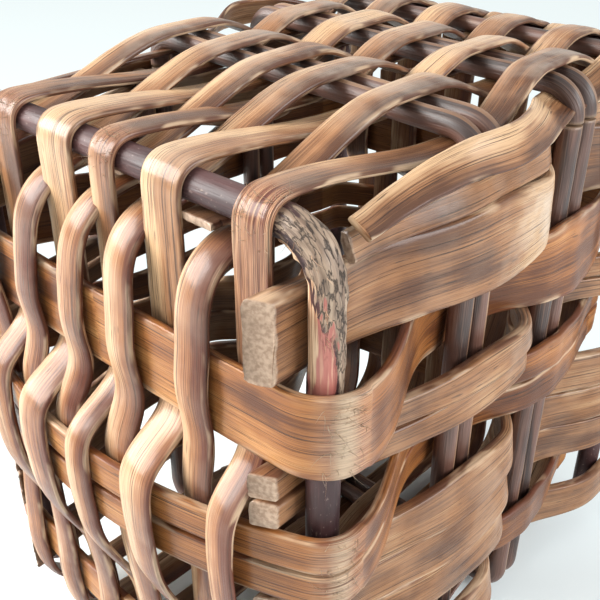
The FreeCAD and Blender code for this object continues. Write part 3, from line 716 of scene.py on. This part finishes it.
# Rim splints. One narrow strip over the top slat of each end wall, outside the first pair of stakes and
# inside the second, with both ends stopped short of the posts.
RIM_DROP = 6.0
RIM_HEIGHT = 10.0
RIM_END = 16.0
rim_end = RAIL_Y - RIM_END
RIM_STATIONS = (
    (STAKE_X, rim_end, rim_end - PAIR_REACH),
    *past_stakes(STAKE_RADIUS + CLEARANCE + HOOP_DEPTH / 2),
    (STAKE_X, PAIR_REACH - rim_end, -rim_end),
)
for node, side in (("left_rim_splint", -1), ("right_rim_splint", 1)):
    line = even_steps(end_wall_line(side, RIM_STATIONS), STEP, 40)
    along = lengths_along(line)
    line[:, 2] = RAIL_Z - RIM_DROP - RIM_HEIGHT / 2 + hill(line[:, 1], first_y, 60)
    tilt = -0.30 - 0.25 * noise(along / 40, 2.5, 170 + side)
    width = (RIM_HEIGHT + 1.5) * (1 + 0.1 * noise(along / 30, 6.5, 171 + side))
    skin = splint_skin(line, leaning(side, tilt), width, HOOP_DEPTH - DEPTH_PLAY, 170 + side,
                       {"cut": at_ends(along, 1.0), "wear_and_sheen": 0.3}, fray=(1.0, 1.0), inside=side)
    make_piece(node, "_strip", [skin], filler_wood, "basket")

# Wall splints. Ten strips split with the grain, each in one length: down the back wall, under the base and up
# the front wall, woven through the hoops and the stakes. Every other one ends hidden behind the upper hoop.
SPLINT_COUNT = 10
SPLINT_PITCH = 16.84
SPLINT_WIDTH = 14.64
BASE_ROUND = 33.2
LID_TAIL = 58.875
LID_LIP = 16.0
# How far each splint has slipped at the rail and at the upper hoop, and its width against the common one.
AT_RAIL = (-0.8, 2.7, 7.3, 5.8, 5.2, -3.0, 0.0, -5.9, 1.1, 0.0)
AT_HOOP = (0.0, 2.7, 6.0, 8.5, 5.0, 4.9, 2.0, 1.4, 1.0, 0.0)
BREADTH = (0.97, 1.0, 1.22, 1.04, 0.84, 0.94, 1.2, 1.02, 0.97, 1.0)
HOOP_SPANS = tuple(  # top and bottom of each level of hoops, as drops, and its bow
    (HOOPS[top][0], HOOPS[low][0] + HOOPS[low][1], HOOPS[top][2])
    for top, low in (("upper_hoop", "upper_hoop"), ("middle_hoop_top", "middle_hoop_bottom"),
                     ("lower_hoop", "lower_hoop")))
HOOP_SEAT = HOOP_DEPTH / 2 + CLEARANCE + SPLINT_DEPTH / 2
RAIL_SEAT = RAIL_RADIUS + CLEARANCE + SPLINT_DEPTH / 2
STAND_OFF = (2.6, 1.0, 1.0)  # how far a splint bulges out over each level of hoops
PRESSED_IN = 0.4  # and in behind one
# From one edge of a strip to the other; the splints use it for painted light and shade across their width.
across_strip = strip_section(STRIP_COLUMNS, STRIP_SQUARENESS)[0][None]


def wall_stations(x, front, inside_first):
    """Where a wall splint runs straight, from the top: its distance out, and where it starts and ends."""
    stations = []
    for number, (top, bottom, bow) in enumerate(HOOP_SPANS):
        corner = hoop_frame(bow)[4 if front else 2]
        inside = (number % 2 == 0) == inside_first
        near = abs(x) + SPLINT_WIDTH / 2 if inside else max(abs(x) - SPLINT_WIDTH / 2, 0)
        out = hoop_line(corner, bow, near) + (-HOOP_SEAT if inside else HOOP_SEAT)
        stations.append((out, RAIL_Z - top + SPLINT_DEPTH, RAIL_Z - bottom - SPLINT_DEPTH))
    return stations


def in_plane(points):
    """A line in space from stretches drawn in an upright plane, as distances to the back and heights."""
    line = np.concatenate(points)
    return np.c_[np.zeros(len(line)), line[:, 0] - MIDDLE_Y, line[:, 1]]


def wall_line(x, hidden_top):
    """The line of a wall splint, from its back top end to its front top end. It stands off each hoop a little
    more in the middle of the crossing. A top that isn't hidden curls in under the rail."""
    back = wall_stations(x, False, hidden_top)
    front = wall_stations(x, True, not hidden_top)
    under = SPLINT_DEPTH / 2
    over = 2 * STAKE_LEVEL - under
    first, last = (under, over) if hidden_top else (over, under)
    knots, values = [], []
    for number, (out, high, low) in reversed(list(enumerate(back))):
        outside = (number % 2 == 1) == hidden_top
        knots += [low, (low + high) / 2, high]
        values += [out, out + (STAND_OFF[number] if outside else -PRESSED_IN), out]
    points = []
    if hidden_top:
        knots[-1] = RAIL_Z - LID_TAIL - 2 * SPLINT_DEPTH
    else:
        out, high = values[-1], knots[-1]
        pulls = np.array([(RAIL_Y - 11.0, RAIL_Z - 13.2), (RAIL_Y + 9.0, RAIL_Z - 13.4),
                          (out + 2.0, high + 24.0), (out, high)])
        share = np.linspace(0, 1, 40)[:-1]
        weights = [(1 - share) ** 3, 3 * share * (1 - share) ** 2, 3 * share ** 2 * (1 - share), share ** 3]
        points.append(np.transpose(weights) @ pulls)
    z = np.linspace(knots[-1], knots[0], 160)
    points.append(np.c_[eased(z, knots, values), z])
    back_y = back[-1][0] - BASE_ROUND
    front_y = BASE_ROUND - front[-1][0]
    points.append(arc((back_y, first + BASE_ROUND), BASE_ROUND, 0, -np.pi / 2, 20))
    y = np.linspace(back_y, front_y, 120)[1:-1]
    knots = [pair + reach for pair in (second_pair, first_pair) for reach in (-PAIR_REACH, PAIR_REACH)]
    points.append(np.c_[y, eased(y, knots, [last, last, first, first])])
    points.append(arc((front_y, last + BASE_ROUND), BASE_ROUND, -np.pi / 2, -np.pi, 20))
    knots = [z for out, high, low in front[::-1] for z in (low, high)]
    values = [-out for out, high, low in front[::-1] for _ in (high, low)]
    if hidden_top:
        knots[-1] = RAIL_Z - (LID_LIP + HOOP_SPANS[0][0]) / 2
    else:
        knots.append(RAIL_Z - RAIL_RADIUS)
        values.append(-RAIL_Y + RAIL_SEAT)
    z = np.linspace(knots[0], knots[-1], 160)
    points.append(np.c_[eased(z, knots, values), z])
    return in_plane(points)


splint_wood = wood_finish("splint_wood", (0.120, 0.034, 0.016, 1), (0.305, 0.122, 0.048, 1),
                          (0.60, 0.37, 0.21, 1), (0.125, 0.040, 0.024, 1), 0.33)
for i in range(SPLINT_COUNT):
    hidden_top = i % 2 == 0
    x = (i - (SPLINT_COUNT - 1) / 2) * SPLINT_PITCH
    seed = 200 + 9 * i
    line = even_steps(wall_line(x, hidden_top), STEP, 45)
    along = lengths_along(line)
    on_back = climb(line[:, 1], 20, 60)
    slip = np.interp(line[:, 2], [50, 235, 272], [0.0, AT_HOOP[i], AT_RAIL[i]])
    line[:, 0] = x + slip * on_back + 0.9 * noise(along / 90, 3.5, seed)
    lean = 0.16 * noise(along / 60, 7.5, seed)
    across = np.c_[np.cos(lean), np.sin(lean) * on_back, 0 * lean]
    width = SPLINT_WIDTH * (1.0 + 0.08 * noise(along / 55, 1.5, seed))
    width = width * np.where(line[:, 1] > 0, 1 + (BREADTH[i] - 1) * on_back, 1.12)
    # Whitish crests along the splint: partly weathering, partly a painted sheen.
    crest = np.clip(noise(along / 40, 2.5, seed) * 0.5 + 0.3, 0, 1)
    # A random lightness per splint, plus lighter towards one edge and darker towards the other: partly
    # sapwood against bark, partly painted light and shade on the rounded face.
    shade = np.random.default_rng(seed).uniform(0.4, 0.85) + 0.8 * across_strip
    skin = splint_skin(line, across, width, SPLINT_DEPTH - 0.1, seed,
                       {"wear_and_sheen": crest[:, None] * 0.6, "tone_and_light": shade}, cup=0.6 if hidden_top else 1.1,
                       fray=(2.0, 1.5), inside=1)
    make_piece("wall_splint_%02d" % (i + 1), "_strip", [skin], splint_wood, "basket")

# Lid rods. Two pairs of split rods and one thin round rod run across the lid; the lid splints are woven over
# and under them. The rods' ends are turned down over the tops of the stakes, and the rods lie a little askew
# to the hinge, as the maker set them by eye.
LID_RISE = 7.0
LID_HALF = 99.0
LID_FRONT_RADIUS = 4.0
LID_FRONT_Y = -RAIL_Y + 24.0
LID_SKEW = -0.06  # sideways slip of a lid rod for each millimetre along it
ROD_TIP = STAKE_TOP + 1.2
rod_z = RAIL_Z + LID_RISE


def lid_rod_y(y, x):
    """Where a lid rod lies at x: over its stake at one end, then askew, less so towards the front."""
    share = climb(y, -RAIL_Y, RAIL_Y)
    return y + LID_SKEW * (x + STAKE_X) * share


for number in range(4):
    line = even_steps(bent_line(STAKE_X, rod_z, ROD_TIP, STAKE_BEND, 0.0), 1.4, 3)
    line[:, 1] = lid_rod_y(pair_rod_y(number), line[:, 0]) - MIDDLE_Y
    planed_rod("lid_rod_%d" % (number + 1), line, [0.0, 0.8, -0.6], 50 + number, 90 * number + 33, "lid")
x = np.linspace(-LID_HALF, LID_HALF, 120)
line = np.c_[x, np.full(len(x), LID_FRONT_Y - MIDDLE_Y), np.full(len(x), rod_z)]
grid = rod_grid(line, LID_FRONT_RADIUS * 0.96, 24, 58, 0.03)
skin = shell(grid, lengths_along(line), np.linspace(0, 25.0, 25), {"wear_and_sheen": 0.3})
make_piece("lid_front_rod", "_split_rod", [skin], split_rod, "lid")

# Lid splints. Twelve strips woven over and under the lid rods. Ten of them are hooked on the back rail, which
# is the hinge: one passes over it, its tail tucked behind the upper hoop, and the next is cut off under it.
# Old bends over the rail have broken into red fibres. All of them lap over the front rail.
HINGE_REACH = 6.0
PAIR_SEAT = STAKE_RADIUS + CLEARANCE + SPLINT_DEPTH / 2
FRONT_SEAT = LID_FRONT_RADIUS + CLEARANCE + SPLINT_DEPTH / 2
FRONT_REACH = LID_FRONT_RADIUS + SPLINT_DEPTH / 2
LID_TONE = (0.4, 0.6, 1.0, 0.65, 0.6, 0.7, 1.05, 0.6, 0.5, 0.6)  # how pale each splint is
BROKEN = {0: 1.0, 4: 0.7, 8: 0.7}  # how badly a splint's bend over the rail has broken, by its number
LONG_STUB = 7.5  # one splint under the rail reaches this far past it
SHORT_STUB = -1.0  # and the others end just short of its middle
EDGE_HUG = 8.9  # an edge splint lies this much lower on the bends of the rods
EDGE_HOLD = 18.0  # and is held down this much further past the first pair
EDGE_OUT = 14.0  # it hangs out over the bends
EDGE_CORNER = 9.0  # and by the post
EDGE_IN = 4.5  # and is drawn in where it goes under


def lid_line(x, over_back, hinged, stub):
    """The line of a lid splint, from its hinge end to its lip over the front rail. An edge splint, which is
    not hinged, starts low beside the post and hugs the turned-down rods."""
    first = -1 if over_back else 1
    hug, hold = (0.0, 0.0) if hinged else (EDGE_HUG, EDGE_HOLD)
    stations = (
        (LID_FRONT_Y, FRONT_REACH, FRONT_REACH, first * FRONT_SEAT),
        (lid_rod_y(second_pair, x), PAIR_REACH, PAIR_REACH, -first * (PAIR_SEAT - hug * (first < 0))),
        (lid_rod_y(first_pair, x), PAIR_REACH + hold, PAIR_REACH, first * (PAIR_SEAT - hug * (first > 0))),
    )
    contact = np.radians(50 if over_back else 80)
    knots = [-RAIL_Y + RAIL_SEAT * np.cos(contact)]
    values = [RAIL_Z + RAIL_SEAT * np.sin(contact)]
    for middle, before, past, lift in stations:
        knots += [middle - before, middle + past]
        values += [rod_z + lift] * 2
    points = []
    if hinged and over_back:
        tail = np.linspace(RAIL_Z - LID_TAIL, RAIL_Z - 0.5, 30)
        points.append(np.c_[np.full(30, RAIL_Y + RAIL_SEAT), tail])
        points.append(arc((RAIL_Y, RAIL_Z), RAIL_SEAT, 0, np.pi / 2, 24))
        start = RAIL_Y
        knots.append(RAIL_Y)
        values.append(RAIL_Z + RAIL_SEAT)
    elif hinged:
        start = RAIL_Y + stub
        knots += [RAIL_Y - HINGE_REACH, RAIL_Y + HINGE_REACH]
        values += [RAIL_Z - RAIL_SEAT] * 2
    else:
        start = RAIL_Y - RAIL_RADIUS - RAIL_SEAT
        knots.append(start)
        values.append(RAIL_Z - 2.0)
    y = np.linspace(start, knots[0], 220)
    points.append(np.c_[y, eased(y, knots, values)])
    points.append(arc((-RAIL_Y, RAIL_Z), RAIL_SEAT, contact, np.pi, 24)[1:])
    points.append(np.array([[-RAIL_Y - RAIL_SEAT, RAIL_Z - LID_LIP]]))
    return in_plane(points)


lid_wood = wood_finish("lid_wood", (0.095, 0.037, 0.017, 1), (0.310, 0.142, 0.062, 1),
                       (0.60, 0.38, 0.21, 1), (0.115, 0.045, 0.027, 1), 0.34)
for i in range(-1, SPLINT_COUNT + 1):
    hinged = 0 <= i < SPLINT_COUNT
    over_back = i % 2 == 0
    seed = 400 + 9 * i
    x = (i - (SPLINT_COUNT - 1) / 2) * SPLINT_PITCH
    slip, breadth, pale = (AT_RAIL[i], BREADTH[i], LID_TONE[i]) if hinged else (0.0, 0.9, 0.6)
    torn_share = BROKEN.get(i, 0.0)
    stub = LONG_STUB if i == 1 else SHORT_STUB
    line = even_steps(lid_line(x + 0.5 * slip, over_back, hinged, stub), STEP, 14)
    along = lengths_along(line)
    y, z = line[:, 1], line[:, 2]
    near = hill(y, first_y, 70)
    line[:, 0] = x + slip * climb(y, -60, 150) + 0.8 * noise(along / 80, 3.5, seed)
    lean = 0.14 * noise(along / 60, 7.5, seed) * climb(along, 90, 40)
    width = SPLINT_WIDTH * (1.08 + 0.10 * noise(along / 70, 1.5, seed))
    width = width * (1 + (breadth - 1) * climb(y, -40, 120))
    if i == 0:
        line[:, 0] -= 7.0 * near
    if i == 1:
        line[:, 0] += 5.0 * climb(y, BACK_Y - 12, 14)
    if not hinged:
        side = 1 if i > 0 else -1
        over = near if i < 0 else hill(y, second_y, 60)
        under = hill(y, second_y, 50) if i < 0 else near
        corner = hill(y, BACK_Y, 80) * (i < 0)
        line[:, 0] += side * (EDGE_OUT * over + EDGE_CORNER * corner - EDGE_IN * under)
        lean = lean - side * (0.25 + 0.80 * np.maximum(over, 0.5 * corner))
        width = width * (1 - 0.4 * corner)
    across = np.c_[np.cos(lean), 0 * lean, np.sin(lean)]
    bend = hill(y, BACK_Y + 4, 13) * hill(z, RAIL_Z + 4, 22)
    broken = torn_share * bend
    tail = climb(y, BACK_Y, 4) * (0.55 if i == 0 else 0.0)
    # Whitish on the top of the lid and over the rail bend: partly weathering, partly a painted sheen.
    crest = climb(z, RAIL_Z + 4, 10) * 0.7 + 0.4 * bend * (1 - torn_share)
    starts = np.clip(1 - along, 0, 1) * (hinged and not over_back)
    # Lightness: each splint's own paleness, plus the same painted light and shade across its width.
    marks = {"wear_and_sheen": crest[:, None], "crack": np.maximum(broken, tail)[:, None], "cut": starts[:, None],
             "tone_and_light": pale + 0.5 * across_strip}
    skins = [splint_skin(line, across, width, SPLINT_DEPTH - 0.1, seed, marks, inside=-1,
                         cup=-0.35 * climb(along, 60, 30), fray=(2.5 if over_back else 0.6, 1.5))]
    if torn_share:
        torn = torn_places(line[broken > 0.3], [1, 0, 0], SPLINT_WIDTH, 5, [0, 1.0, 1.0], seed)
        skins += fibres(torn, [-0.2, 0.6, 0.3], int(40 * torn_share), 6.0, 0.12, seed, LOOSE_WOOD)
    make_piece("lid_splint_%02d" % (i + 2), "_strip", skins, lid_wood, "lid")

# Floor, light and camera. A pale floor in a white room, one broad soft light high on the hinge side and a
# weaker one opposite; the camera stands close to the hinge corner and looks down at it.
FOCAL_PIXELS = 870.49
FRAME_PIXELS = 600
CAMERA_PLACE = (-244.0, 281.86, 396.3)
CAMERA_AZIMUTH = 3.8826
CAMERA_ELEVATION = 0.5352
CAMERA_ROLL = 0.003
SENSOR = 36.0
FLOOR_REACH = 30.0
ROOM_WHITE = (0.90, 0.985, 0.985, 1)


def aim(thing, place, back, roll=0.0):
    """Put a light or a camera at a place, in metres, with its back turned one way and its right side level,
    then rolled about that way."""
    back = np.array(back) / np.linalg.norm(back)
    level = np.cross([0, 0, 1.0], back)
    level /= np.linalg.norm(level)
    above = np.cross(back, level)
    right = np.cos(roll) * level + np.sin(roll) * above
    up = np.cos(roll) * above - np.sin(roll) * level
    thing.matrix_world = Matrix([[right[k], up[k], back[k], place[k]] for k in range(3)] + [[0, 0, 0, 1]])
    scene.collection.objects.link(thing)


for name, place, target, breadth, power, colour in (
        ("key", (1.05, 0.95, 0.95), (0, 0.05, 0.2), 1.0, 58.0, (1.0, 0.985, 0.96)),
        ("fill", (-1.2, -0.3, 0.8), (0, 0, 0.2), 0.8, 21.0, (0.96, 0.98, 1.0))):
    light = bpy.data.lights.new(name, "AREA")
    light.size = breadth
    light.energy = power
    light.color = colour
    aim(bpy.data.objects.new(name, light), place, np.subtract(place, target))

floor_mesh = bpy.data.meshes.new("floor")
corners = [(x * FLOOR_REACH, y * FLOOR_REACH, 0) for x, y in ((-1, -1), (1, -1), (1, 1), (-1, 1))]
floor_mesh.from_pydata(corners, [], [(0, 1, 2, 3)])
floor = bpy.data.objects.new("floor", floor_mesh)
scene.collection.objects.link(floor)
paper = Finish("pale_floor")
paper.put(paper.shader.inputs["Base Color"], (0.80, 0.86, 0.86, 1))
paper.put(paper.shader.inputs["Roughness"], 0.8)
glow = paper.node("Emission", {"Color": ROOM_WHITE, "Strength": 1.0})
place = paper.node("TexCoord").outputs["Object"]
reach = paper.node("VectorMath", {0: place}, operation="LENGTH").outputs["Value"]
far = paper.ramp(reach, 0.15, 0.25)
seen = paper.node("LightPath").outputs["Is Camera Ray"]
glowing = paper.math("MULTIPLY", seen, paper.math("MULTIPLY", far, 0.8))
surface = paper.node("MixShader", {0: glowing, 1: paper.shader.outputs[0], 2: glow.outputs[0]})
paper.put(paper.tree.nodes["Material Output"].inputs["Surface"], surface.outputs[0])
floor_mesh.materials.append(paper.material)

world = bpy.data.worlds.new("white_room")
scene.world = world
world.use_nodes = True
room = Nodes(world.node_tree)
room.tree.nodes.clear()
rays = room.node("LightPath").outputs
shown = room.math("ADD", rays["Is Camera Ray"], rays["Is Glossy Ray"])
shown = room.math("ADD", shown, rays["Is Transmission Ray"])
white = room.node("Background", {"Color": ROOM_WHITE, "Strength": 1.0})
soft = room.node("Background", {"Color": (0.96, 0.98, 1.0, 1), "Strength": 0.55})
choice = room.node("MixShader", {0: shown, 1: soft.outputs[0], 2: white.outputs[0]})
room.node("OutputWorld", {"Surface": choice.outputs[0]})

camera_data = bpy.data.cameras.new("camera")
camera_data.sensor_width = SENSOR
camera_data.lens = SENSOR * FOCAL_PIXELS / FRAME_PIXELS
camera = bpy.data.objects.new("camera", camera_data)
level_share = np.cos(CAMERA_ELEVATION)
back = [np.sin(CAMERA_AZIMUTH) * level_share, -np.cos(CAMERA_AZIMUTH) * level_share, np.sin(CAMERA_ELEVATION)]
aim(camera, np.array(CAMERA_PLACE) * MM, back, CAMERA_ROLL)
scene.camera = camera
scene.view_settings.view_transform = "Standard"
